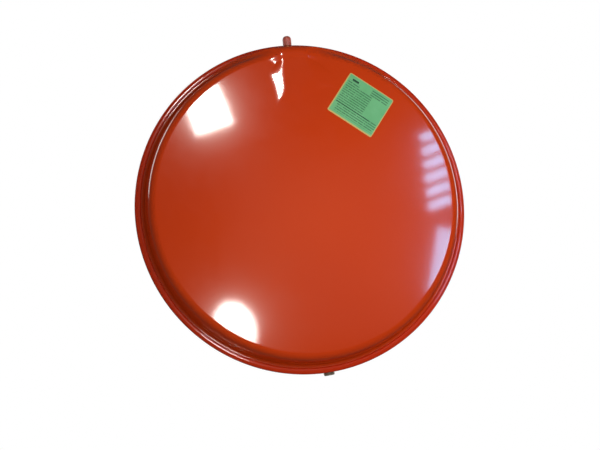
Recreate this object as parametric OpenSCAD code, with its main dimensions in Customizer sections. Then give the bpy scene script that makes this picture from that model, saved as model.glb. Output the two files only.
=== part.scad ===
// Flat round diaphragm expansion vessel for a heating boiler, in millimetres.
// +Z points up through the gas valve. The disc's axis lies along Y and its front faces -Y.
// The origin is the centre of the rim, in the plane of the seam.

/* [Vessel] */
// Outer diameter over the rolled rim
rim_d = 387; // [330:1:420]
// Height of each half from the seam to the crown
crown_h = 44; // [40:0.5:52]
// Thickness of the shell steel
shell_t = 1.2; // [0.8:0.1:1.5]
// Radius at which the shoulder's arc is centred, counted inward from the rim
shoulder_in = 23.5; // [22:0.5:26]
// Outer radius of the shoulder
shoulder_r = 10; // [8:0.5:12]
// Outer radius of the hollow where the wall meets the flange
root_r = 3; // [2.5:0.1:3.2]
// Draft of the side wall
wall_draft = 9; // [7:0.5:9.5]
// How far the crown rises above a flat dish between its centre and the shoulder
crown_rise = 11.6; // [9:0.1:14]

/* [Seam] */
// Thickness of the rolled band
band_t = 1.5; // [1:0.1:2]
// Width of each of the band's lips
band_lip = 7; // [6:0.1:7.2]

/* [Diaphragm] */
// Thickness of the rubber wall
rubber_t = 2; // [1.6:0.1:2.4]
// Thickness of the rubber edge that the seam squeezes
edge_t = 2.4; // [2:0.1:3]
// Free space between the rubber and the rear shell
rubber_gap = 0.6; // [0.4:0.1:1]
// Radius of the middle that travels without bending
centre_r = 120; // [90:1:130]

/* [Valve spout] */
// Width of the spout's flat top at its outer end
spout_w = 27.6; // [24:0.2:32]
// Distance of that top's middle to the right of the valve
spout_x = 1.6; // [0:0.2:4]
// Height of the flat top over the seam plane, where its end begins to round off
spout_h = 34; // [32:0.1:36]
// Fall of the flat top towards the rim
spout_fall = 5.3; // [4.5:0.1:6]
// Radius at which the flat top begins
spout_in_r = 113; // [108:1:125]
// Distance of the spout's end inward from the rim
spout_end_in = 7.2; // [7.1:0.1:8]
// Radius between the flat top and the end
spout_round = 10; // [6:0.5:12]
// Angle by which the flat top widens inward, on the right side
spout_fan = 12; // [0:0.5:14]
// Lean of the spout's sides from upright
spout_lean = 63; // [45:1:70]

/* [Gas valve] */
// Distance of the valve's axis in front of the seam plane
valve_y = 9.4; // [9.3:0.1:9.8]
// Radius over the valve's 8V1 thread
valve_r = 3.85; // [3.8:0.01:3.95]
// Distance from the vessel's axis to the top of the cap
cap_top = 202.4; // [201:0.1:206]
// Length of the cap
cap_len = 12.2; // [11:0.1:12.4]
// Radius of the cap
cap_r = 5.1; // [4.9:0.05:5.1]

/* [Water connection] */
// Radius over the G 1/4 thread
stub_r = 6.58; // [6.5:0.01:6.6]
// Distance from the vessel's axis to the stub's open end
stub_end = 196; // [195:0.5:200]
// Distance of the stub's axis behind the seam plane
stub_y = 15; // [14:0.5:16]
// Angle of the stub from straight down, towards +X
stub_a = 4.6; // [0:0.1:15]
// Radius of the stub's waterway
stub_bore = 3.5; // [2.5:0.1:4]
// Length of the thread
stub_thread = 9.5; // [8:0.5:10]

/* [Label] */
// Length of the label
label_l = 60; // [50:1:70]
// Width of the label
label_w = 54.5; // [40:0.5:56]
// Distance of the label's middle to the right of the axis
label_x = 74; // [70:0.5:80]
// Distance of the label's middle above the axis
label_z = 109; // [95:0.5:115]
// Turn of the label
label_turn = -37.6; // [-45:0.1:0]

/* [Hidden] */
$fn = 96;
big = 260;
rim_r = rim_d / 2;
half_edge = edge_t / 2;
flange_h = half_edge + shell_t;
flange_r = rim_r - band_t - 0.1;
band_h = flange_h + band_t;
lip_r = rim_r - band_lip;

// The crown is a sphere, and the shoulder's arc touches it from inside.
shoulder_x = rim_r - shoulder_in;
crown_flat = shoulder_x;
crown_r = (crown_flat * crown_flat + crown_rise * crown_rise) / (2 * crown_rise);
crown_y = crown_h - crown_r;
shoulder_y = crown_y + sqrt(pow(crown_r - shoulder_r, 2) - pow(shoulder_x, 2));
crown_a = atan2(shoulder_y - crown_y, shoulder_x);
// The wall runs from the shoulder's arc down to the root's arc.
wall_x = shoulder_x + shoulder_r * cos(wall_draft);
wall_y = shoulder_y + shoulder_r * sin(wall_draft);
root_y = flange_h + root_r;
wall_len = (wall_y - root_y + root_r * sin(wall_draft)) / cos(wall_draft);
root_x = wall_x + wall_len * sin(wall_draft) + root_r * cos(wall_draft);

// The spout: its end is drawn as an outline too, with the flat top touching the end's rounding.
spout_end_r = rim_r - spout_end_in;
spout_arc_x = spout_end_r - spout_round;
spout_arc_y = spout_h - spout_round;
spout_skirt_r = spout_in_r - 11;

// The rubber: its middle and wall lie off the rear shell's inside by the free space.
rubber_out = shell_t + rubber_gap;
rubber_in = rubber_out + rubber_t;
edge_in_r = rim_r - 7;
edge_out_r = flange_r - 0.1;

// The gas valve, as heights along +Z
seal_t = 1;
cap_floor = cap_top - 2.7;
stem_top = cap_floor - seal_t - 0.05;
stem_foot = spout_end_r - 7.5;
neck_r = 3.5;
thread_foot = stem_top - 8.5;
core_r = 2.6;
core_bore = core_r + 0.02;
core_top = stem_top - 0.9;
plug_foot = stem_top - 5;
barrel_foot = stem_top - 11.6;
barrel_r = 1.75;
seat_top = stem_top - 6;
seat_foot = stem_top - 7;
gas_bore = 2.15;
pin_r = 0.6;
pin_tip = stem_top - 0.15;
pin_foot = stem_top - 13.8;
collar_foot = stem_top - 5.6;
ledge_top = barrel_foot + 0.8;
spring_r = 0.9;
spring_wire = 0.13;
spring_turns = 7;
spring_foot = ledge_top + spring_wire;
spring_top = collar_foot - spring_wire;

// The water stub, as distances along its own axis
collar_r = 8.5;
collar_end = stub_end - stub_thread;
collar_start = rim_r - 19;

paint = [0.70, 0.20, 0.08];

function crown_at(r) = crown_y + sqrt(crown_r * crown_r - r * r);
function flat_at(r) = spout_arc_y + spout_round / cos(spout_fall) + (spout_arc_x - r) * tan(spout_fall);
function arc(x, y, r, a0, a1, n) =
    [for (i = [0:n]) let (a = a0 + (a1 - a0) * i / n) [x + r * cos(a), y + r * sin(a)]];
// Outline of a half shell from its root to the axis, moved inward by o.
function skin(o) = concat(
    arc(root_x, root_y, root_r + o, 270, 180 + wall_draft, 6),
    arc(shoulder_x, shoulder_y, shoulder_r - o, wall_draft, crown_a, 8),
    [for (i = [1:9]) let (a = crown_a + (90 - crown_a) * i / 10)
        [(crown_r - o) * cos(a), crown_y + (crown_r - o) * sin(a)]],
    [[0, crown_h - o]]);
function reversed(v) = [for (i = [len(v) - 1:-1:0]) v[i]];

// Turns a form made along +Z so that it points to the front, or to the back.
module to_front() {
    rotate([90, 0, 0]) children();
}
module to_back() {
    rotate([-90, 0, 0]) children();
}
module at_valve() {
    translate([0, -valve_y, 0]) children();
}
module at_stub() {
    translate([0, stub_y, 0]) rotate([0, 180 - stub_a, 0]) children();
}
module tube(outer, inner, z0, z1) {
    translate([0, 0, z0]) difference() {
        cylinder(r = outer, h = z1 - z0);
        translate([0, 0, -1]) cylinder(r = inner, h = z1 - z0 + 2);
    }
}

// Everything inside a half shell's skin, down to the height base.
module dish(o, base) {
    rotate_extrude($fn = 180) polygon(concat([[0, base], [root_x, base]], skin(o)));
}

// Everything on the inner side of one of the spout's leaning sides, moved inward by o.
module spout_side(o, fan) {
    half = spout_w / 2 - o / cos(spout_lean);
    reach = 60;
    translate([0, spout_arc_x, spout_h]) rotate([-spout_fall, 0, fan])
        translate([0, 30, 0]) rotate([90, 0, 0]) linear_extrude(140)
            polygon([[half + reach * tan(spout_lean), -reach], [-big, -reach], [-big, 10],
                     [half - 10 * tan(spout_lean), 10]]);
}
// The raised spout that carries the shell out over the flange to the valve.
module spout(o, base) {
    intersection() {
        rotate_extrude($fn = 180) polygon(concat(
            [[spout_skirt_r, base], [spout_end_r - o, base]],
            arc(spout_arc_x, spout_arc_y, spout_round - o, 0, 90 - spout_fall, 6),
            [[spout_in_r, flat_at(spout_in_r) - o / cos(spout_fall)],
             [spout_skirt_r, crown_at(spout_skirt_r) - 0.2 - o]]));
        translate([spout_x, 0, 0]) spout_side(o, spout_fan);
        translate([spout_x, 0, 0]) mirror([1, 0, 0]) spout_side(o, 0);
    }
}
module front_form(o, base) {
    union() {
        dish(o, base);
        spout(o, base);
    }
}

module front_shell() {
    color(paint) difference() {
        to_front() difference() {
            union() {
                front_form(0, half_edge);
                tube(flange_r, root_x - 30, half_edge, flange_h);
            }
            front_form(shell_t, half_edge - 1);
        }
        at_valve() translate([0, 0, spout_end_r - 4]) cylinder(r = neck_r, h = 8);
    }
}

module back_shell() {
    color(paint) difference() {
        to_back() difference() {
            union() {
                dish(0, half_edge);
                tube(flange_r, root_x - 30, half_edge, flange_h);
            }
            dish(shell_t, half_edge - 1);
        }
        at_stub() translate([0, 0, 150]) cylinder(r = collar_r, h = 60);
    }
}

// The band that is rolled over both flanges.
module clench_ring() {
    roll = 1.4;
    color(paint) to_front() rotate_extrude($fn = 180) polygon(concat(
        [[lip_r, flange_h], [rim_r - band_t, flange_h], [rim_r - band_t, -flange_h],
         [lip_r, -flange_h], [lip_r, -band_h]],
        arc(rim_r - roll, -band_h + roll, roll, -90, 0, 5),
        arc(rim_r - roll, band_h - roll, roll, 0, 90, 5),
        [[lip_r, band_h]]));
}

// The rubber's edge, squeezed between the two flanges.
module diaphragm_edge() {
    color("dimgray") to_back() tube(edge_out_r, edge_in_r, -half_edge, half_edge);
}
module rubber_dish() {
    rim = [[edge_in_r, -half_edge], [edge_in_r, flange_h - rubber_out]];
    outer = skin(rubber_out);
    inner = [for (p = skin(rubber_in)) [p[0], max(p[1], -half_edge)]];
    to_back() rotate_extrude($fn = 180) polygon(concat(
        [for (p = concat(rim, outer)) if (p[0] <= edge_in_r) p],
        [for (p = reversed(inner)) if (p[0] <= edge_in_r) p]));
}
module diaphragm_wall() {
    color("dimgray") difference() {
        rubber_dish();
        to_back() cylinder(r = centre_r, h = big);
    }
}
module diaphragm_centre() {
    color("gray") intersection() {
        rubber_dish();
        to_back() cylinder(r = centre_r, h = big);
    }
}

// The brass stem: neck through the shell, 8V1 thread outside, stepped bore for the core.
module valve_stem() {
    color("goldenrod") at_valve() rotate_extrude() polygon([
        [gas_bore, stem_foot], [neck_r, stem_foot], [neck_r, thread_foot], [valve_r, thread_foot],
        [valve_r, stem_top - 0.4], [valve_r - 0.4, stem_top], [core_bore, stem_top],
        [core_bore, seat_top], [gas_bore, seat_foot]]);
}
module valve_weld() {
    foot = spout_end_r;
    color(paint) at_valve() rotate_extrude() polygon([
        [neck_r, foot], [neck_r + 1.6, foot], [neck_r + 1.4, foot + 1.2],
        [neck_r + 0.7, foot + 2.4], [neck_r, foot + 2.8]]);
}

// The core screws into the stem. Its bridged top takes the key.
module core_plug() {
    bridge_foot = core_top - 1.4;
    color("gold") at_valve() difference() {
        translate([0, 0, plug_foot]) cylinder(r = core_r, h = core_top - plug_foot);
        translate([0, 0, plug_foot - 1]) cylinder(r = 1.4, h = bridge_foot - plug_foot + 1);
        translate([0, 0, plug_foot]) cylinder(r = pin_r + 0.06, h = 10);
        for (side = [0, 180]) rotate([0, 0, side])
            translate([0.95, -5, bridge_foot]) cube([5, 10, 5]);
    }
}
module core_barrel() {
    color("gold") at_valve() union() {
        tube(barrel_r, 1.2, ledge_top, plug_foot);
        tube(barrel_r, pin_r + 0.2, barrel_foot, ledge_top);
    }
}
module core_gasket() {
    color("red") at_valve() rotate_extrude() polygon([
        [barrel_r, seat_foot - 0.5], [gas_bore - 0.02, seat_foot - 0.5], [gas_bore - 0.02, seat_foot],
        [core_bore - 0.04, seat_top], [core_bore - 0.04, seat_top + 0.5], [barrel_r, seat_top + 0.5]]);
}
module core_spring() {
    steps = 14;
    sides = 6;
    rise = spring_top - spring_foot;
    count = spring_turns * steps;
    points = [for (i = [0:count]) for (k = [0:sides - 1])
        let (a = 360 * i / steps, b = 360 * k / sides, r = spring_r + spring_wire * cos(b))
        [r * cos(a), r * sin(a), spring_foot + rise * i / count + spring_wire * sin(b)]];
    tube_faces = [for (i = [0:count - 1]) for (k = [0:sides - 1])
        let (n = (k + 1) % sides, p = i * sides, q = (i + 1) * sides) [p + k, p + n, q + n, q + k]];
    ends = [[for (k = [sides - 1:-1:0]) k], [for (k = [0:sides - 1]) count * sides + k]];
    color("silver") at_valve() polyhedron(points, concat(tube_faces, ends));
}
// The pin opens the valve when it is pressed in; its collar carries the spring.
module core_pin() {
    color("silver") at_valve() rotate_extrude() polygon([
        [0, pin_foot], [pin_r - 0.15, pin_foot], [pin_r, pin_foot + 0.15], [pin_r, collar_foot],
        [1.1, collar_foot], [1.1, collar_foot + 0.5], [pin_r, collar_foot + 0.5],
        [pin_r, pin_tip - 0.3], [pin_r - 0.2, pin_tip], [0, pin_tip]]);
}
module core_cup() {
    foot = barrel_foot - 1.4;
    color("gold") at_valve() union() {
        tube(1.95, pin_r, foot, foot + 0.7);
        tube(1.95, 1.72, foot + 0.7, foot + 1.1);
    }
}
module core_seal() {
    color("black") at_valve() tube(1.7, pin_r, barrel_foot - 0.7, barrel_foot - 0.04);
}

module cap_seal() {
    color("black") at_valve() translate([0, 0, cap_floor - seal_t - 0.02]) cylinder(r = 3.7, h = seal_t);
}
// The cap: relieved at its mouth, threaded further in, domed on top.
module valve_cap() {
    foot = cap_top - cap_len;
    round = 4.2;
    mouth = 3.7;
    color(paint) at_valve() rotate_extrude() polygon(concat(
        [[valve_r + 0.4, foot], [cap_r - 0.3, foot], [cap_r, foot + 0.4]],
        arc(cap_r - round, cap_top - round, round, 0, 84, 8),
        [[0, cap_top], [0, cap_floor], [valve_r + 0.07, cap_floor],
         [valve_r + 0.07, foot + mouth], [valve_r + 0.4, foot + mouth]]));
}

// The steel stub: collar through the rear shell's wall, G 1/4 thread outside.
module water_stub() {
    lead = 1;
    relief = 1.6;
    color("darkgray") difference() {
        at_stub() rotate_extrude() polygon([
            [stub_bore, collar_start], [collar_r, collar_start], [collar_r, collar_end - 0.6],
            [collar_r - 0.6, collar_end], [stub_r - 0.9, collar_end],
            [stub_r - 0.9, collar_end + relief], [stub_r, collar_end + relief],
            [stub_r, stub_end - lead], [stub_r - lead, stub_end],
            [stub_bore + 0.5, stub_end], [stub_bore, stub_end - 0.5]]);
        to_back() dish(shell_t, -5);
    }
}
module stub_weld() {
    color(paint) difference() {
        at_stub() rotate_extrude() polygon([
            [collar_r, collar_start], [collar_r + 2.6, collar_start], [collar_r + 2.2, collar_start + 5],
            [collar_r + 0.8, collar_end - 2.2], [collar_r, collar_end - 1.8]]);
        to_back() dish(0, -5);
    }
}

// The printed label, lying on the crown.
module label() {
    skin_t = 0.25;
    color("mediumseagreen") intersection() {
        to_front() difference() {
            translate([0, 0, crown_y]) sphere(r = crown_r + skin_t, $fn = 180);
            translate([0, 0, crown_y]) sphere(r = crown_r, $fn = 180);
        }
        translate([label_x, 0, label_z]) rotate([0, -label_turn, 0])
            translate([-label_l / 2, -big, -label_w / 2]) cube([label_l, big, label_w]);
    }
}

front_shell();
back_shell();
clench_ring();
diaphragm_edge();
diaphragm_wall();
diaphragm_centre();
valve_stem();
valve_weld();
core_plug();
core_barrel();
core_gasket();
core_spring();
core_pin();
core_cup();
core_seal();
cap_seal();
valve_cap();
water_stub();
stub_weld();
label();
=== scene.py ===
"""The flat round expansion vessel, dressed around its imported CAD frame: +Z up, front towards -Y.

Shapes are worked out in millimetres and made in metres. The camera, fill light and rear lights
are placed in metres.
"""
import math

import bmesh
import bpy
import numpy as np
from mathutils import Matrix, Vector


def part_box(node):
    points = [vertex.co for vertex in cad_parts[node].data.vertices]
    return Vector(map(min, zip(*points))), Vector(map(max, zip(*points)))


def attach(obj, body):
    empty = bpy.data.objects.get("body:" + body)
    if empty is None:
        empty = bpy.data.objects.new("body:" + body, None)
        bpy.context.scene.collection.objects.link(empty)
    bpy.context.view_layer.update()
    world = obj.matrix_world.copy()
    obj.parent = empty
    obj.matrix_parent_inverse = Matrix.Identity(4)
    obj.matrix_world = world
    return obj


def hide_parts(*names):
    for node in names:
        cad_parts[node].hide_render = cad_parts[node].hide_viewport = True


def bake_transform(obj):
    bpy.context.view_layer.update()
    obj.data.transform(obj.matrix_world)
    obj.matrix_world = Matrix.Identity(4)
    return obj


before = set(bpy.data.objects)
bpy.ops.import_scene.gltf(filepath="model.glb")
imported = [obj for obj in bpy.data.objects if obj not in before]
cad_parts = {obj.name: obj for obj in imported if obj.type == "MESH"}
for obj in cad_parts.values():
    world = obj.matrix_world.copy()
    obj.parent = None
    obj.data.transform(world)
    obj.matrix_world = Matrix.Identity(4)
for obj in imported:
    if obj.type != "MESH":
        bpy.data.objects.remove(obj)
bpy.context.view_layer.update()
MM = 0.001

# ---------------------------------------------------------------- sizes, in millimetres
RIM_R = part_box("clench_ring")[1].x / MM
BAND_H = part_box("clench_ring")[1].y / MM
CROWN_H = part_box("back_shell")[1].y / MM
FLANGE_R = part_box("back_shell")[1].x / MM
EDGE_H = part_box("diaphragm_edge")[1].y / MM
SHELL_T = 1.2
FLANGE_H = EDGE_H + SHELL_T
LIP_R = RIM_R - 7
SHOULDER_X = RIM_R - 23.5
SHOULDER_R = 10.0
ROOT_R = 3.0
WALL_DRAFT = math.radians(9)
CROWN_RISE = 11.6
RUBBER_OUT = SHELL_T + 0.6
RUBBER_IN = RUBBER_OUT + 2.0
RUBBER_EDGE_R = RIM_R - 7

# The raised spout that carries the front shell out over the flange to the valve
SPOUT_W, SPOUT_X = 27.6, 1.6
SPOUT_H = 34.0
SPOUT_FALL = math.radians(5.3)
SPOUT_ROUND = 10.0
SPOUT_END_R = RIM_R - 7.2
SPOUT_ARC_X = SPOUT_END_R - SPOUT_ROUND
SPOUT_ARC_Y = SPOUT_H - SPOUT_ROUND
SPOUT_FAN = math.radians(12)
SPOUT_REACH = math.radians(37)
# Its inner end: where it starts to rise, how fast, and how far it slants away from the label
SPOUT_IN_Z = 126.0
SPOUT_IN_SLOPE = 0.12
SPOUT_IN_SLANT = 0.6
SPOUT_IN_SLANT_X = 5
SPOUT_IN_ROUND = 1.4
# Its two sides: slope on the crown, slope outside the shoulder, and the radii between the two
LEFT_SLOPES = (0.112, 0.5)
RIGHT_SLOPES = (0.09, 0.36)
STEEPENS_R = (150, 182)
# The rounding at its foot: on the crown, how much it grows, and the radii between the two
FOOT_ROUND, FOOT_ROUND_MORE = 0.25, 8
FOOT_ROUND_R = (164, 180)

VALVE = Vector((0.0, -9.4, 0.0))
VALVE_R = 3.85
NECK_R = 3.5
CAP_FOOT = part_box("valve_cap")[0].z / MM
CAP_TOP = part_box("valve_cap")[1].z / MM
CAP_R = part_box("valve_cap")[1].x / MM
STEM_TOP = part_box("valve_stem")[1].z / MM
STEM_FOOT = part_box("valve_stem")[0].z / MM

STUB_Y = 15.0
STUB_A = math.radians(4.6)
STUB_R = 6.58
STUB_END = 196.0
STUB_BORE = 3.5
STUB_FOOT = 178.6
COLLAR_R = 8.5
COLLAR_END = STUB_END - 9.5

LABEL_L, LABEL_W = 60.0, 54.5
LABEL_X, LABEL_Z = 74.0, 109.0
LABEL_TURN = math.radians(-37.6)

# ---------------------------------------------------------------- the half shell's outline
CROWN_R = (SHOULDER_X ** 2 + CROWN_RISE ** 2) / (2 * CROWN_RISE)
CROWN_C = CROWN_H - CROWN_R
SHOULDER_Y = CROWN_C + math.sqrt((CROWN_R - SHOULDER_R) ** 2 - SHOULDER_X ** 2)
CROWN_A = math.atan2(SHOULDER_Y - CROWN_C, SHOULDER_X)
ROOT_Y = FLANGE_H + ROOT_R
WALL_TOP = SHOULDER_Y + SHOULDER_R * math.sin(WALL_DRAFT)
WALL_LEN = (WALL_TOP - ROOT_Y + ROOT_R * math.sin(WALL_DRAFT)) / math.cos(WALL_DRAFT)
ROOT_X = (SHOULDER_X + (SHOULDER_R + ROOT_R) * math.cos(WALL_DRAFT)
          + WALL_LEN * math.sin(WALL_DRAFT))


def arc(x, y, r, a0, a1, n):
    """n + 1 points on an arc, as rows of (radius, height)."""
    a = np.linspace(a0, a1, n + 1)
    return np.stack([x + r * np.cos(a), y + r * np.sin(a)], 1)


def skin(offset=0.0, fine=1):
    """The half shell's outline from its root to the axis, moved inward by offset."""
    root = arc(ROOT_X, ROOT_Y, ROOT_R + offset, 1.5 * math.pi, math.pi + WALL_DRAFT, 9 * fine)
    shoulder = arc(SHOULDER_X, SHOULDER_Y, SHOULDER_R - offset, WALL_DRAFT, CROWN_A, 12 * fine)
    crown = arc(0, CROWN_C, CROWN_R - offset, CROWN_A, math.pi / 2, 36 * fine)
    return np.concatenate([root, shoulder, crown[1:]])


def crown_height(r):
    return CROWN_C + np.sqrt(CROWN_R ** 2 - r * r)


def distance_to(outline, r, h):
    """Signed distance from an outline drawn up the wall and in to the axis: negative inside."""
    p = np.stack([np.ravel(r), np.ravel(h)], 1)
    best, side = np.full(len(p), 1e9), np.zeros(len(p))
    for a, b in zip(outline[:-1], outline[1:]):
        d = b - a
        t = np.clip((p - a) @ d / (d @ d), 0, 1)
        off = p - a - t[:, None] * d
        dist = np.hypot(off[:, 0], off[:, 1])
        cross = d[0] * off[:, 1] - d[1] * off[:, 0]
        side = np.where(dist < best, np.sign(cross), side)
        best = np.minimum(best, dist)
    return (-side * best).reshape(np.shape(r))


def flat_height(z):
    """Height of the spout's flat top."""
    return SPOUT_H + (SPOUT_ARC_X - z) * math.tan(SPOUT_FALL)


# Both outlines run on past the shell, so that distances near their ends are true
DISH = np.concatenate([[[FLANGE_R + 40, FLANGE_H]], skin(fine=3)])
SPOUT = np.concatenate([
    [[SPOUT_END_R, -60]],
    arc(SPOUT_ARC_X, SPOUT_ARC_Y, SPOUT_ROUND, 0, math.pi / 2 - SPOUT_FALL, 30),
    [[0, flat_height(0)]]])


def outside(r, h):
    return distance_to(DISH, r, h)


def soft_max(a, b, k):
    """The larger of two fields, with a rounding of size k where they cross."""
    h = np.maximum(k - np.abs(a - b), 0) / k
    return np.maximum(a, b) + h * h * k / 4


def soft_min(a, b, k):
    return -soft_max(-a, -b, k)


def ease(x, low, high):
    t = np.clip((x - low) / (high - low), 0, 1)
    return t * t * (3 - 2 * t)


def flank(beyond, r, z, h, slopes):
    """A side of the spout: nearly level on the crown, steeper where the shoulder drops away."""
    gentle, steep = slopes
    slope = gentle + (steep - gentle) * ease(r, *STEEPENS_R) ** 1.5
    return (h - flat_height(z) + slope * beyond) / np.sqrt(1 + slope ** 2), 2 * slope


def pressed(x, z, h):
    """Signed distance from the front shell's skin, the raised spout included."""
    r = np.hypot(x, z)
    spout = distance_to(SPOUT, r, h)
    start_z = SPOUT_IN_Z + SPOUT_IN_SLANT * np.maximum(x - SPOUT_IN_SLANT_X, 0)
    inner_end = h - flat_height(z) + SPOUT_IN_SLOPE * (start_z - z)
    spout = soft_max(spout, inner_end, SPOUT_IN_ROUND)
    left_edge = SPOUT_X - SPOUT_W / 2
    right_edge = SPOUT_X + SPOUT_W / 2 + (SPOUT_ARC_X - z) * math.tan(SPOUT_FAN)
    left, left_round = flank(left_edge - x, r, z, h, LEFT_SLOPES)
    right, right_round = flank(x - right_edge, r, z, h, RIGHT_SLOPES)
    spout = soft_max(spout, left, left_round)
    spout = soft_max(spout, right, right_round)
    return soft_min(outside(r, h), spout, FOOT_ROUND + FOOT_ROUND_MORE * ease(r, *FOOT_ROUND_R))


# ---------------------------------------------------------------- mesh helpers
def make(name, points, faces):
    """A smooth mesh object from points in millimetres."""
    mesh = bpy.data.meshes.new(name)
    mesh.from_pydata([tuple(MM * c for c in p) for p in points], [], faces)
    mesh.update()
    obj = bpy.data.objects.new(name, mesh)
    bpy.context.scene.collection.objects.link(obj)
    for p in mesh.polygons:
        p.use_smooth = True
    return obj


def outward(obj):
    """Makes every face of a closed mesh point outward."""
    work = bmesh.new()
    work.from_mesh(obj.data)
    bmesh.ops.remove_doubles(work, verts=work.verts, dist=1e-7)
    bmesh.ops.recalc_face_normals(work, faces=work.faces)
    work.to_mesh(obj.data)
    work.free()
    return obj


def crease(obj, degrees=35):
    """Keeps edges sharper than this crisp in the shading."""
    work = bmesh.new()
    work.from_mesh(obj.data)
    for e in work.edges:
        if len(e.link_faces) == 2:
            e.smooth = e.calc_face_angle(0) < math.radians(degrees)
    work.to_mesh(obj.data)
    work.free()
    return obj


def apply_modifier(obj, kind, **settings):
    mod = obj.modifiers.new(kind.lower(), kind)
    for key, value in settings.items():
        setattr(mod, key, value)
    graph = bpy.context.evaluated_depsgraph_get()
    mesh = bpy.data.meshes.new_from_object(obj.evaluated_get(graph))
    obj.modifiers.clear()
    obj.data = mesh
    return obj


def tube_faces(rows, columns):
    """Faces between neighbouring rings of points, open at both ends."""
    return [(i * columns + j, i * columns + (j + 1) % columns,
             (i + 1) * columns + (j + 1) % columns, (i + 1) * columns + j)
            for i in range(rows - 1) for j in range(columns)]


def ring_faces(rows, columns):
    """The same, with the last ring joined to the first."""
    last = (rows - 1) * columns
    return tube_faces(rows, columns) + [
        (last + j, last + (j + 1) % columns, (j + 1) % columns, j) for j in range(columns)]


def lathe(name, profile, columns, place, shape=None):
    """Turns (radius, along) rows about an axis. shape(radius, along, angle) may change the radius."""
    points = []
    for r, s in profile:
        for j in range(columns):
            a = 2 * math.pi * j / columns
            radius = shape(r, s, a) if shape else r
            points.append(place(radius * math.cos(a), radius * math.sin(a), s))
    return outward(make(name, points, ring_faces(len(profile), columns)))


def to_front(x, y, s):
    return (x, -s, y)


def to_back(x, y, s):
    return (x, s, -y)


def at_valve(x, y, s):
    return (x, VALVE.y + y, s)


def at_stub(x, y, s):
    """Along the stub's own axis, s outward."""
    down = Vector((math.sin(STUB_A), 0, -math.cos(STUB_A)))
    side = Vector((math.cos(STUB_A), 0, math.sin(STUB_A)))
    p = down * s + side * x + Vector((0, STUB_Y + y, 0))
    return (p.x, p.y, p.z)


def thread(major, depth, pitch, low, high):
    """The radius of a right-hand thread, faded out at both ends."""
    steep, root_flat = 1.35, 0.15

    def shape(r, s, a):
        if r < major - 1e-6 or not low < s < high:
            return r
        phase = (s / pitch - a / (2 * math.pi)) % 1
        tooth = min(1, max(0, steep * abs(2 * phase - 1) - root_flat))
        fade = float(ease(s, low, low + pitch)) * (1 - float(ease(s, high - pitch, high)))
        return r - depth * fade * (1 - tooth)
    return shape


def stepped(a, b, step):
    """Points from a to b, both included, no further apart than step."""
    a, b = np.array(a, float), np.array(b, float)
    n = max(1, int(math.ceil(np.linalg.norm(b - a) / step)))
    return [tuple(a + (b - a) * i / n) for i in range(n + 1)]


# ---------------------------------------------------------------- materials
def colour(r, g, b):
    """A linear colour from the 0-255 values seen on a screen."""
    return tuple(((c / 255 + 0.055) / 1.055) ** 2.4 if c > 10 else c / 3294.6 for c in (r, g, b)) + (1,)


class Finish:
    """A small builder for a procedural material."""

    def __init__(self, name, **sockets):
        self.mat = bpy.data.materials.new(name)
        self.mat.use_nodes = True
        self.tree = self.mat.node_tree
        self.shader = next(n for n in self.tree.nodes if n.type == "BSDF_PRINCIPLED")
        for key, value in sockets.items():
            self.shader.inputs[key.replace("_", " ")].default_value = value
        self.place = self.add("ShaderNodeTexCoord").outputs["Object"]

    def add(self, kind, **settings):
        node = self.tree.nodes.new(kind)
        for key, value in settings.items():
            setattr(node, key, value)
        return node

    def link(self, a, b):
        self.tree.links.new(a, b)

    def noise(self, scale, detail=3.0, rough=0.5, stretch=None):
        node = self.add("ShaderNodeTexNoise")
        node.inputs["Scale"].default_value = scale
        node.inputs["Detail"].default_value = detail
        node.inputs["Roughness"].default_value = rough
        source = self.place
        if stretch:
            mapping = self.add("ShaderNodeMapping")
            mapping.inputs["Scale"].default_value = stretch
            self.link(source, mapping.inputs["Vector"])
            source = mapping.outputs["Vector"]
        self.link(source, node.inputs["Vector"])
        return node.outputs["Fac"]

    def ramp(self, fac, stops):
        node = self.add("ShaderNodeValToRGB")
        elements = node.color_ramp.elements
        while len(elements) < len(stops):
            elements.new(0.5)
        for e, (at, value) in zip(elements, stops):
            e.position = at
            e.color = value if isinstance(value, tuple) else (value, value, value, 1)
        self.link(fac, node.inputs["Fac"])
        return node.outputs["Color"]

    def base(self, fac, stops):
        self.link(self.ramp(fac, stops), self.shader.inputs["Base Color"])

    def number(self, kind, *values):
        """A Math node over sockets or plain numbers."""
        node = self.add("ShaderNodeMath", operation=kind)
        for socket, value in zip(node.inputs, values):
            if isinstance(value, (int, float)):
                socket.default_value = value
            else:
                self.link(value, socket)
        return node.outputs[0]

    def between(self, x, low, high):
        above = self.number("GREATER_THAN", x, low)
        return self.number("MULTIPLY", above, self.number("LESS_THAN", x, high))

    def over(self, fac, below, tint):
        """A fixed colour laid over another one where fac is 1."""
        node = self.add("ShaderNodeMix", data_type="RGBA")
        self.link(fac, node.inputs[0])
        self.link(below, node.inputs[6])
        node.inputs[7].default_value = tint
        return node.outputs[2]

    def roughness(self, fac, low, high):
        self.link(self.ramp(fac, [(0.3, low), (0.7, high)]), self.shader.inputs["Roughness"])

    def bump(self, *layers):
        """Each layer is (fac, distance in metres, strength)."""
        normal = None
        for fac, distance, strength in layers:
            node = self.add("ShaderNodeBump")
            node.inputs["Distance"].default_value = distance
            node.inputs["Strength"].default_value = strength
            self.link(fac, node.inputs["Height"])
            if normal:
                self.link(normal, node.inputs["Normal"])
            normal = node.outputs["Normal"]
        self.link(normal, self.shader.inputs["Normal"])


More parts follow.
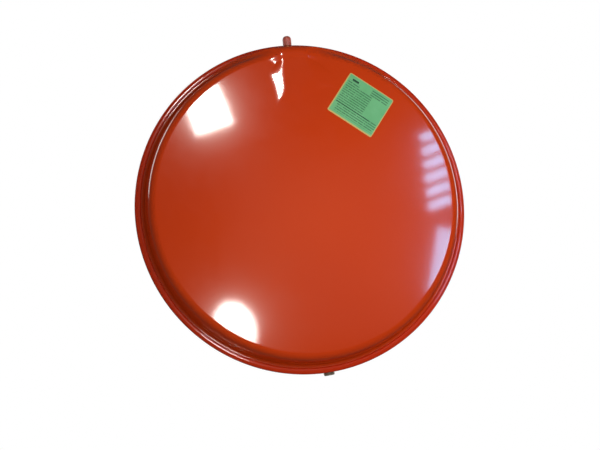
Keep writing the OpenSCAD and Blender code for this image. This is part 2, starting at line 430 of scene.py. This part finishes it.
def red_enamel(name, low, high, peel):
    """Glossy stoved paint between two reds, with orange peel of the given strength."""
    f = Finish(name, Coat_Weight=1.0, Coat_Roughness=0.075, Coat_IOR=1.5, Specular_IOR_Level=0.16)
    f.base(f.noise(5.0, 1.0), [(0.3, low), (0.7, high)])
    f.roughness(f.noise(60.0), 0.18, 0.22)
    f.bump((f.noise(380.0, 1.0), 0.00002, peel))
    return f.mat


def cap_plastic():
    f = Finish("cap_plastic", Roughness=0.3, Coat_Weight=0.3, Coat_Roughness=0.15)
    f.base(f.noise(300.0), [(0.3, colour(186, 88, 74)), (0.7, colour(200, 100, 84))])
    f.roughness(f.noise(900.0), 0.26, 0.36)
    f.bump((f.noise(1500.0), 0.00002, 0.2))
    return f.mat


def brass():
    f = Finish("turned_brass", Metallic=1.0, Roughness=0.3)
    f.base(f.noise(120.0), [(0.3, colour(190, 152, 84)), (0.7, colour(214, 178, 106))])
    f.roughness(f.noise(400.0, stretch=(1, 1, 8)), 0.22, 0.4)
    f.bump((f.noise(500.0, stretch=(0.3, 0.3, 6)), 0.00002, 0.3))
    return f.mat


def zinc_steel():
    f = Finish("zinc_steel", Metallic=0.45)
    f.base(f.noise(260.0, 5.0), [(0.3, colour(150, 136, 118)), (0.55, colour(190, 180, 162)),
                                 (0.8, colour(214, 206, 192))])
    f.roughness(f.noise(700.0, 4.0), 0.3, 0.55)
    f.bump((f.noise(600.0, stretch=(0.4, 0.4, 5)), 0.00003, 0.3))
    return f.mat


def spring_steel():
    f = Finish("spring_steel", Metallic=1.0, Roughness=0.3)
    f.base(f.noise(900.0), [(0.3, colour(170, 170, 172)), (0.7, colour(205, 205, 208))])
    f.roughness(f.noise(2000.0), 0.2, 0.4)
    return f.mat


def black_rubber(name="black_rubber", scale=500.0):
    f = Finish(name, Roughness=0.6)
    f.base(f.noise(40.0), [(0.3, colour(28, 28, 29)), (0.7, colour(44, 43, 42))])
    f.roughness(f.noise(scale), 0.5, 0.72)
    f.bump((f.noise(scale * 2), 0.00004, 0.4))
    return f.mat


def gasket_plastic():
    f = Finish("gasket_plastic", Roughness=0.45)
    f.base(f.noise(800.0), [(0.3, colour(170, 40, 34)), (0.7, colour(190, 52, 44))])
    f.roughness(f.noise(1500.0), 0.4, 0.55)
    return f.mat


def label_print():
    """Green film with a pale edge and rows of short dark bars, laid out over the label's UV square."""
    f = Finish("label_print", Roughness=0.38, Coat_Weight=0.25, Coat_Roughness=0.25)
    rows = 19.0
    split = f.add("ShaderNodeSeparateXYZ")
    f.link(f.add("ShaderNodeUVMap").outputs["UV"], split.inputs["Vector"])
    u, v = split.outputs["X"], split.outputs["Y"]

    def field(u0, u1, v0, v1):
        return f.number("MULTIPLY", f.between(u, u0, u1), f.between(v, v0, v1))

    def both(a, b):
        return f.number("MULTIPLY", a, b)

    def either(a, b):
        return f.number("MAXIMUM", a, b)

    def cells(columns, seed, fill):
        """1 where a short word-like bar is printed, in rows."""
        row = f.number("FLOOR", both(v, rows))
        in_row = f.between(f.number("FRACT", both(v, rows)), 0.24, 0.7)
        join = f.add("ShaderNodeCombineXYZ")
        f.link(both(u, columns), join.inputs["X"])
        f.link(f.number("ADD", both(row, 7.31), seed), join.inputs["Y"])
        words = f.add("ShaderNodeTexNoise")
        words.inputs["Scale"].default_value = 1.0
        words.inputs["Detail"].default_value = 2.0
        words.inputs["Roughness"].default_value = 0.7
        f.link(join.outputs["Vector"], words.inputs["Vector"])
        return both(in_row, f.number("GREATER_THAN", words.outputs["Fac"], 1 - fill))

    small = both(cells(58.0, 3.0, 0.58), either(field(0.05, 0.62, 0.3, 0.8), field(0.1, 0.97, 0.08, 0.3)))
    heading = both(cells(40.0, 9.0, 0.62), either(field(0.55, 0.93, 0.8, 0.95), field(0.05, 0.3, 0.8, 0.86)))
    strong = both(cells(34.0, 21.0, 0.66), field(0.05, 0.8, 0.26, 0.32))
    strong = either(strong, field(0.11, 0.25, 0.87, 0.915))
    ink = either(both(either(small, heading), 0.7), strong)
    edge = f.number("SUBTRACT", 1.0, field(0.022, 0.984, 0.032, 0.984))

    film = f.ramp(f.noise(60.0), [(0.3, colour(102, 186, 124)), (0.7, colour(114, 196, 136))])
    printed = f.over(ink, film, colour(24, 78, 46))
    f.link(f.over(edge, printed, colour(206, 190, 108)), f.shader.inputs["Base Color"])
    f.roughness(f.noise(200.0), 0.32, 0.45)
    f.bump((f.noise(900.0), 0.00001, 0.3))
    return f.mat


PAINT = red_enamel("red_enamel", colour(202, 58, 8), colour(208, 64, 10), 0.8)
# The rim band's paint is a darker red than the shells': painted shade for the groove under the dome's wall,
# on what is the same paint as the shells.
SHADED_BAND_PAINT = red_enamel("band_enamel_painted_shade", colour(198, 46, 9), colour(206, 52, 11), 0.1)
BRASS = brass()
RUBBER = black_rubber()
STEEL = zinc_steel()


def finish_piece(obj, material, body, slot, *nodes):
    obj.data.materials.clear()
    obj.data.materials.append(material)
    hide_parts(*nodes)
    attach(obj, body)
    return obj


# ---------------------------------------------------------------- the two shells
# The front shell's points lie on rays from a ring inside it, at this radius and height
RAY_R, RAY_H = 150.0, 4.0


def shell_columns():
    """Angles round the disc, from straight up, closer together around the spout."""
    near = np.linspace(-SPOUT_REACH, SPOUT_REACH, 241)
    far = np.linspace(SPOUT_REACH, 2 * math.pi - SPOUT_REACH, 231)[1:-1]
    return np.concatenate([near, far])


def ray_hits(field, rays, field_shape):
    """Where the rays meet the zero of a field of (r, h), or the flange before it."""
    nearest, furthest, halvings = 5.0, 170.0, 24
    low, high = np.full(field_shape, nearest), np.full(field_shape, furthest)
    down = np.broadcast_to(np.sin(rays), field_shape)
    to_flange = np.where(down < 0, (RAY_H - FLANGE_H) / np.maximum(-down, 1e-6), furthest)
    high = np.minimum(high, to_flange)
    for _ in range(halvings):
        mid = (low + high) / 2
        inside = field(RAY_R + mid * np.cos(rays), RAY_H + mid * np.sin(rays)) < 0
        low, high = np.where(inside, mid, low), np.where(inside, high, mid)
    return RAY_R + high * np.cos(rays), RAY_H + high * np.sin(rays)


def front_skin():
    """(angle, radius, height) of the front shell's skin: one row for each angle, root to axis."""
    plain = skin(fine=3)
    rays = np.arctan2(plain[:, 1] - RAY_H, plain[:, 0] - RAY_R)
    shoulder_ray = np.radians(70)
    side_rays = np.linspace(rays[0], shoulder_ray, 100)
    crown_rays = np.linspace(shoulder_ray, rays[-1], 70)[1:]
    rays = np.concatenate([side_rays, crown_rays])
    angles = shell_columns()
    near = angles < SPOUT_REACH
    far_r, far_h = ray_hits(outside, rays, rays.shape)
    r, h = np.tile(far_r, (len(angles), 1)), np.tile(far_h, (len(angles), 1))
    turn = angles[near][:, None]
    r[near], h[near] = ray_hits(lambda a, b: pressed(a * np.sin(turn), a * np.cos(turn), b),
                                rays[None, :], (near.sum(), len(rays)))
    return angles, r, h


def dish(name, rings, place):
    """A steel shell from rings of (x, z, height) points, closed at the middle of the crown."""
    columns = len(rings[0])
    points = [place(*p) for ring in rings for p in ring]
    points.append(place(0, 0, CROWN_H))
    faces = tube_faces(len(rings), columns)
    start = (len(rings) - 1) * columns
    faces += [(start + j, start + (j + 1) % columns, len(points) - 1) for j in range(columns)]
    return thicken(make(name, points, faces))


def front_shell():
    angles, r, h = front_skin()
    sines, cosines = [math.sin(t) for t in angles], [math.cos(t) for t in angles]
    flange = np.linspace(FLANGE_R, r[:, 0].max() + 0.4, 3)
    rings = [[(value * x, value * z, FLANGE_H) for x, z in zip(sines, cosines)] for value in flange]
    for i in range(r.shape[1] - 1):
        rings.append([(r[j, i] * x, r[j, i] * z, h[j, i])
                      for j, (x, z) in enumerate(zip(sines, cosines))])
    return dish("front_shell_skin", rings, to_front)


def back_shell():
    outline = [(v, FLANGE_H) for v in np.linspace(FLANGE_R, ROOT_X + 0.4, 3)]
    outline += [tuple(p) for p in skin(fine=2)[:-1]]
    angles = np.linspace(0, 2 * math.pi, 301)[:-1]
    rings = [[(r * math.sin(t), r * math.cos(t), h) for t in angles] for r, h in outline]
    return dish("back_shell_skin", rings, to_back)


def thicken(obj):
    """Gives a skin the steel's thickness, inward."""
    work = bmesh.new()
    work.from_mesh(obj.data)
    bmesh.ops.recalc_face_normals(work, faces=work.faces)
    facing = sum(f.normal.y * f.calc_area() * f.calc_center_median().y for f in work.faces)
    if facing < 0:
        bmesh.ops.reverse_faces(work, faces=work.faces)
    work.to_mesh(obj.data)
    work.free()
    return apply_modifier(obj, "SOLIDIFY", thickness=SHELL_T * MM, offset=-1.0, use_even_offset=True)


def bore_through(obj, radius, place, low, high):
    """Cuts a round hole through a shell."""
    cutter = lathe("cutter", [(0.001, low), (radius, low), (radius, high), (0.001, high)], 64, place)
    apply_modifier(obj, "BOOLEAN", object=cutter, operation="DIFFERENCE", solver="EXACT")
    bpy.data.objects.remove(cutter)
    return obj


def clench_ring():
    """The rolled band: rounded outer corners and lips that lie on both flanges."""
    inner, lip, top_round = RIM_R - 1.5, 0.6, 1.3
    roll_across, roll_along = 5, 3
    half = [(inner, 0.0), (inner, FLANGE_H)]
    half += stepped((inner, FLANGE_H), (LIP_R + 0.1, FLANGE_H), 1.0)[1:]
    half += arc(LIP_R + lip, FLANGE_H + lip + 0.1, lip, -0.75 * math.pi, -1.25 * math.pi, 5).tolist()
    half += arc(LIP_R + 1.5, BAND_H - top_round, top_round, 0.85 * math.pi, 0.5 * math.pi, 4).tolist()
    half += [(RIM_R - roll_across + roll_across * x, BAND_H - roll_along + roll_along * y)
             for x, y in arc(0, 0, 1, 0.5 * math.pi, 0, 14)[1:]]
    half += [(RIM_R, 0.0)]
    other = [(r, -s) for r, s in half[1:-1]][::-1]
    return lathe("clench_band", half + other, 480, to_front)


# ---------------------------------------------------------------- small pieces
def valve_stem():
    thread_foot = STEM_TOP - 8.5
    core, gas, pitch, depth = 2.62, 2.15, 0.79375, 0.45
    profile = [(gas, STEM_FOOT), (NECK_R - 0.3, STEM_FOOT), (NECK_R, STEM_FOOT + 0.3), (NECK_R, thread_foot)]
    profile += stepped((VALVE_R, thread_foot), (VALVE_R, STEM_TOP - 0.4), 0.08)
    profile += [(VALVE_R - 0.4, STEM_TOP), (core, STEM_TOP), (core, STEM_TOP - 6), (gas, STEM_TOP - 7)]
    shape = thread(VALVE_R, depth, pitch, thread_foot, STEM_TOP)
    return crease(lathe("valve_stem_threaded", profile, 72, at_valve, shape))


def valve_cap():
    """A moulded cap with fine grip ribs and a domed top."""
    top_round, wall = 4.2, 2.7
    bore, mouth, mouth_deep = VALVE_R + 0.07, VALVE_R + 0.4, 3.7
    rib_count, rib_deep = 18, 0.22
    profile = [(mouth, CAP_FOOT), (CAP_R - 0.35, CAP_FOOT), (CAP_R - 0.1, CAP_FOOT + 0.12),
               (CAP_R, CAP_FOOT + 0.35)]
    profile += stepped((CAP_R, CAP_FOOT + 0.35), (CAP_R, CAP_TOP - top_round), 0.5)[1:]
    dome = arc(CAP_R - top_round, CAP_TOP - top_round, top_round, 0, 0.47 * math.pi, 12)
    profile += dome[1:].tolist()
    profile += [(0.02, CAP_TOP), (0.02, CAP_TOP - wall), (bore, CAP_TOP - wall),
                (bore, CAP_FOOT + mouth_deep), (mouth, CAP_FOOT + mouth_deep)]
    skirt_low, skirt_high = CAP_FOOT + 1.2, CAP_TOP - top_round - 0.4

    def ribs(r, s, a):
        if r < CAP_R - 0.01:
            return r
        on = float(ease(s, skirt_low, skirt_low + 0.6)) * (1 - float(ease(s, skirt_high - 0.8, skirt_high)))
        return r - rib_deep * on * (0.5 - 0.5 * math.cos(rib_count * a)) ** 2

    return crease(lathe("valve_cap_moulded", profile, 144, at_valve, ribs), 50)


def valve_weld():
    """A small rippled bead round the stem's neck, on the end of the spout."""
    foot, wide, tall = SPOUT_END_R - 0.1, 1.6, 2.8
    ripples, ripple_deep = 15, 0.12
    profile = [(NECK_R - 0.02, foot)]
    profile += [(NECK_R + wide * r, foot + tall * s) for r, s in arc(0, 0, 1, 0, 0.5 * math.pi, 10)[:-1]]
    profile += [(NECK_R - 0.02, foot + tall)]

    def ripple(r, s, a):
        if r <= NECK_R:
            return r
        return r - ripple_deep * (0.5 + 0.5 * math.sin(ripples * a)) * min(1, r - NECK_R)

    return lathe("valve_weld_bead", profile, 120, at_valve, ripple)


def water_stub():
    """The steel stub: collar, G 1/4 thread with a chamfered end, and its waterway."""
    foot, pitch, depth = COLLAR_END + 1.6, 1.337, 0.85
    inner = [(STUB_BORE + 0.5, STUB_END), (STUB_BORE, STUB_END - 0.5), (STUB_BORE, STUB_FOOT)]
    profile = [(COLLAR_R, STUB_FOOT), (COLLAR_R, COLLAR_END - 0.6), (COLLAR_R - 0.6, COLLAR_END),
               (STUB_R - 0.9, COLLAR_END), (STUB_R - 0.9, foot)]
    profile += stepped((STUB_R, foot + 0.02), (STUB_R, STUB_END - 1), 0.12)
    profile += [(STUB_R - 1, STUB_END)] + inner
    shape = thread(STUB_R, depth, pitch, foot, STUB_END + 0.3)
    return crease(lathe("water_stub_threaded", profile, 96, at_stub, shape))


def stub_weld():
    """A rippled bead where the collar meets the rear shell's drafted wall."""
    columns, sides, bead, halvings = 180, 14, 1.7, 22
    angles = np.linspace(0, 2 * math.pi, columns + 1)[:-1]
    low, high = np.full(columns, 165.0), np.full(columns, 192.0)
    for _ in range(halvings):
        mid = (low + high) / 2
        p = np.array([at_stub(COLLAR_R * math.cos(a), COLLAR_R * math.sin(a), s)
                      for a, s in zip(angles, mid)])
        inside = outside(np.hypot(p[:, 0], p[:, 2]), p[:, 1]) < 0
        low, high = np.where(inside, mid, low), np.where(inside, high, mid)
    points = []
    for a, s in zip(angles, low):
        size = bead * (1 + 0.07 * math.sin(22 * a) + 0.05 * math.sin(9 * a + 1))
        for k in range(sides):
            b = 2 * math.pi * k / sides
            r = COLLAR_R + 0.35 + size * math.cos(b)
            points.append(at_stub(r * math.cos(a), r * math.sin(a), s + 0.1 + size * math.sin(b)))
    return outward(make("stub_weld_bead", points, ring_faces(columns, sides)))


def rounded(x, y, corner):
    """Pulls a point of the label's rectangle in to its rounded corner."""
    flat_x, flat_y = LABEL_L / 2 - corner, LABEL_W / 2 - corner
    past_x, past_y = abs(x) - flat_x, abs(y) - flat_y
    if past_x <= 0 or past_y <= 0:
        return x, y
    pull = max(past_x, past_y) / math.hypot(past_x, past_y)
    return math.copysign(flat_x + past_x * pull, x), math.copysign(flat_y + past_y * pull, y)


def border(across, up):
    """The outermost points of a grid, in order round it."""
    foot = list(range(across))
    far = [j * across + across - 1 for j in range(1, up)]
    top = [(up - 1) * across + i for i in range(across - 2, -1, -1)]
    return foot + far + top + [j * across for j in range(up - 2, 0, -1)]


def label():
    """A thin film with rounded corners, following the crown."""
    across, up, corner, gap, film = 61, 53, 2.0, 0.02, 0.25
    points, faces, uvs = [], [], []
    for top in (gap, film):
        for j in range(up):
            for i in range(across):
                u, v = i / (across - 1), j / (up - 1)
                x, y = rounded((u - 0.5) * LABEL_L, (v - 0.5) * LABEL_W, corner)
                gx = LABEL_X + x * math.cos(LABEL_TURN) - y * math.sin(LABEL_TURN)
                gz = LABEL_Z + x * math.sin(LABEL_TURN) + y * math.cos(LABEL_TURN)
                points.append((gx, -(float(crown_height(math.hypot(gx, gz))) + top), gz))
                uvs.append((u, v))
    n = across * up
    for j in range(up - 1):
        for i in range(across - 1):
            k = j * across + i
            faces.append((k + n, k + n + 1, k + n + across + 1, k + n + across))
            faces.append((k, k + across, k + across + 1, k + 1))
    rim = border(across, up)
    for a, b in zip(rim, rim[1:] + rim[:1]):
        faces.append((a, b, b + n, a + n))
    obj = make("label_film", points, faces)
    layer = obj.data.uv_layers.new(name="UVMap")
    for loop in obj.data.loops:
        layer.data[loop.index].uv = uvs[loop.vertex_index]
    return crease(obj)


def valve_spring():
    """The wound wire under the pin's collar, built at rest between the ends of the CAD spring."""
    low, high = (corner.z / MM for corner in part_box("core_spring"))
    wire, radius, turns, steps, sides = 0.13, 0.9, 7, 36, 8
    foot, rise, count = low + wire, high - low - 2 * wire, turns * steps
    points = []
    for i in range(count + 1):
        a = 2 * math.pi * i / steps
        for k in range(sides):
            b = 2 * math.pi * k / sides
            r = radius + wire * math.cos(b)
            s = foot + rise * i / count + wire * math.sin(b)
            points.append(at_valve(r * math.cos(a), r * math.sin(a), s))
    faces = tube_faces(count + 1, sides)
    faces += [tuple(range(sides)), tuple(range(count * sides, (count + 1) * sides))]
    obj = crease(outward(make("valve_spring_wound", points, faces)), 50)
    obj.data.materials.append(spring_steel())
    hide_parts("core_spring")
    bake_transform(obj)


def diaphragm():
    """One rubber moulding: edge in the seam, a wall and a middle, built as one mesh at rest.

    Known fault: it crosses the front shell, the stub and the stub's weld at rest, and the
    valve stem once it has travelled.
    """
    edge_out, edge_h = FLANGE_R - 0.1, EDGE_H - 0.02
    outer = [tuple(p) for p in skin(RUBBER_OUT) if p[0] <= RUBBER_EDGE_R]
    inner = [tuple(p) for p in skin(RUBBER_IN) if p[0] <= RUBBER_EDGE_R]
    outer[-1], inner[-1] = (0.02, outer[-1][1]), (0.02, inner[-1][1])
    profile = [(edge_out, -edge_h), (edge_out, edge_h), (RUBBER_EDGE_R + 1.5, edge_h)]
    profile += [(RUBBER_EDGE_R, FLANGE_H - RUBBER_OUT)] + outer + inner[::-1]
    profile += [(RUBBER_EDGE_R, -edge_h)]
    return lathe("diaphragm_moulding", profile, 240, to_back)


front = bore_through(front_shell(), NECK_R - 0.05, at_valve, SPOUT_END_R - 4, SPOUT_END_R + 4)
front.name = "front_shell_pressed"
finish_piece(crease(front, 50), PAINT, "vessel", "red_paint", "front_shell")
rear = bore_through(back_shell(), COLLAR_R - 0.05, at_stub, 150, 200)
rear.name = "back_shell_pressed"
finish_piece(crease(rear, 50), PAINT, "vessel", "red_paint", "back_shell")
# The rim band takes the darker red: painted shade for the groove.
finish_piece(crease(clench_ring(), 60), SHADED_BAND_PAINT, "vessel", "red_paint", "clench_ring")
finish_piece(valve_weld(), PAINT, "vessel", "red_paint", "valve_weld")
finish_piece(stub_weld(), PAINT, "vessel", "red_paint", "stub_weld")
finish_piece(valve_stem(), BRASS, "vessel", "valve_brass", "valve_stem")
finish_piece(valve_cap(), cap_plastic(), "cap", "cap_plastic", "valve_cap")
finish_piece(water_stub(), STEEL, "vessel", "zinc_steel", "water_stub")
finish_piece(label(), label_print(), "vessel", "label_print", "label")

valve_spring()
rubber = diaphragm()
rubber.data.materials.append(black_rubber("diaphragm_rubber", 300.0))
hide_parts("diaphragm_edge", "diaphragm_wall", "diaphragm_centre")
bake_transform(rubber)

KEPT = {
    "core_plug": BRASS, "core_barrel": BRASS, "core_cup": BRASS,
    "core_gasket": gasket_plastic(), "core_pin": STEEL,
    "core_seal": RUBBER, "cap_seal": RUBBER,
}
for name, material in KEPT.items():
    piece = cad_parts[name]
    piece.data.materials.clear()
    piece.data.materials.append(material)

# ---------------------------------------------------------------- camera
TILT = math.radians(13.4)
TILT_AZIMUTH = math.radians(227.92)
ROLL = math.radians(43.1)
DISTANCE = 2.0
SPAN = 0.696
SENSOR = 36

facing = Vector((0, -1, 0))
tilt_to = Vector((math.sin(TILT_AZIMUTH), 0, math.cos(TILT_AZIMUTH)))
across = Vector((-tilt_to.z, 0, tilt_to.x))
to_camera = tilt_to * math.sin(TILT) + facing * math.cos(TILT)
minor_axis = tilt_to * math.cos(TILT) - facing * math.sin(TILT)
right = (across * math.cos(ROLL) - minor_axis * math.sin(ROLL)).normalized()
up = to_camera.cross(right).normalized()
camera_data = bpy.data.cameras.new("camera")
camera_data.sensor_width = SENSOR
camera_data.lens = SENSOR * DISTANCE / SPAN
camera_data.shift_x = -0.003
camera_data.shift_y = -0.0294
camera = bpy.data.objects.new("camera", camera_data)
camera.matrix_world = Matrix.Translation(to_camera * DISTANCE) @ Matrix(
    (right, up, to_camera)).transposed().to_4x4()
bpy.context.scene.collection.objects.link(camera)
bpy.context.scene.camera = camera


# ---------------------------------------------------------------- studio
def area_light(name, place, target, size, power, tint=(1, 1, 1), turn=0.0, lights=True, mirrored=True):
    """A softbox. lights and mirrored say whether it shows in matt and in glossy surfaces."""
    data = bpy.data.lights.new(name, "AREA")
    data.shape = "RECTANGLE"
    data.size, data.size_y = size
    data.energy = power
    data.color = tint
    obj = bpy.data.objects.new(name, data)
    aim = (Vector(target) - Vector(place)).to_track_quat("-Z", "Y").to_matrix().to_4x4()
    obj.matrix_world = Matrix.Translation(place) @ aim @ Matrix.Rotation(turn, 4, "Z")
    obj.visible_camera = False
    obj.visible_diffuse = lights
    obj.visible_glossy = mirrored
    bpy.context.scene.collection.objects.link(obj)
    return obj


WARM = (1, 0.97, 0.9)
LILAC = (0.2, 0.62, 1.0)
STRIPES = 6
STRIPE_TOP_Z, STRIPE_STEP = 70, 16.3


def mirrored_light(name, spot, far, size, power, tint=(1, 1, 1), turn=0.0):
    """A softbox, far metres away, that the crown mirrors to the camera at spot, (x, z).

    spot, and the size it is seen at there, are in millimetres.
    """
    x, z = spot
    point = Vector((x, -float(crown_height(math.hypot(x, z))), z)) * MM
    normal = (point / MM - Vector((0, -CROWN_C, 0))).normalized()
    view = (camera.matrix_world.translation - point).normalized()
    out = 2 * normal.dot(view) * normal - view
    spread = 1 + 2 * far / (CROWN_R * MM) + far / DISTANCE
    real = (size[0] * MM * spread, size[1] * MM * spread)
    return area_light(name, point + out * far, point, real, power, tint, turn, lights=False)


mirrored_light("window_upper_left", (-104, 115), 2.2, (43, 50), 11.5, WARM, math.radians(15))
lower = mirrored_light("window_lower_left", (-95, -139), 2.2, (48, 66), 11, WARM, math.radians(10))
lower.data.shape = "ELLIPSE"
for k in range(STRIPES):
    spot = (156, STRIPE_TOP_Z - STRIPE_STEP * k)
    mirrored_light(f"blind_{k}", spot, 2.4, (30, 8), 0.7, LILAC, math.radians(15))
mirrored_light("window_right", (158, -82), 2.4, (36, 76), 5.2, LILAC, math.radians(-14))
area_light("fill_near", (0.15, -0.64, -0.03), (0, 0, 0), (0.5, 0.5), 3.0, (1, 0.95, 0.88), mirrored=False)
area_light("rear_left", (-1.8, 1.9, 1.4), (0, 0, 0), (1.4, 1.4), 14)
area_light("rear_right", (1.9, 1.6, 0.8), (0, 0, 0), (1.2, 1.6), 10)

FLOOR_HALF, FLOOR_Z = 4000, -450
corners = [(-1, -1), (1, -1), (1, 1), (-1, 1)]
floor = make("studio_floor", [(FLOOR_HALF * x, FLOOR_HALF * y, FLOOR_Z) for x, y in corners], [(0, 1, 2, 3)])
ground = Finish("studio_floor", Roughness=0.9, Specular_IOR_Level=0.0,
                Emission_Color=(1, 1, 1, 1), Emission_Strength=0.4)
ground.base(ground.noise(3.0), [(0.3, colour(238, 238, 236)), (0.7, colour(244, 244, 242))])
floor.data.materials.append(ground.mat)
floor.visible_glossy = False
floor.visible_diffuse = False

world = bpy.data.worlds.new("studio")
bpy.context.scene.world = world
world.use_nodes = True
tree = world.node_tree
tree.nodes.clear()
path = tree.nodes.new("ShaderNodeLightPath")
sky = tree.nodes.new("ShaderNodeOutputWorld")


def background(tint, strength):
    node = tree.nodes.new("ShaderNodeBackground")
    node.inputs["Color"].default_value = tint + (1,)
    node.inputs["Strength"].default_value = strength
    return node.outputs[0]


def choose(test, no, yes):
    node = tree.nodes.new("ShaderNodeMixShader")
    tree.links.new(path.outputs[test], node.inputs[0])
    tree.links.new(no, node.inputs[1])
    tree.links.new(yes, node.inputs[2])
    return node.outputs[0]


room = choose("Is Diffuse Ray", background((1, 0.8, 0.66), 0.07), background((1, 0.96, 0.92), 0.25))
room = choose("Is Camera Ray", room, background((1, 1, 1), 1.0))
tree.links.new(room, sky.inputs["Surface"])
bpy.context.scene.view_settings.view_transform = "Standard"
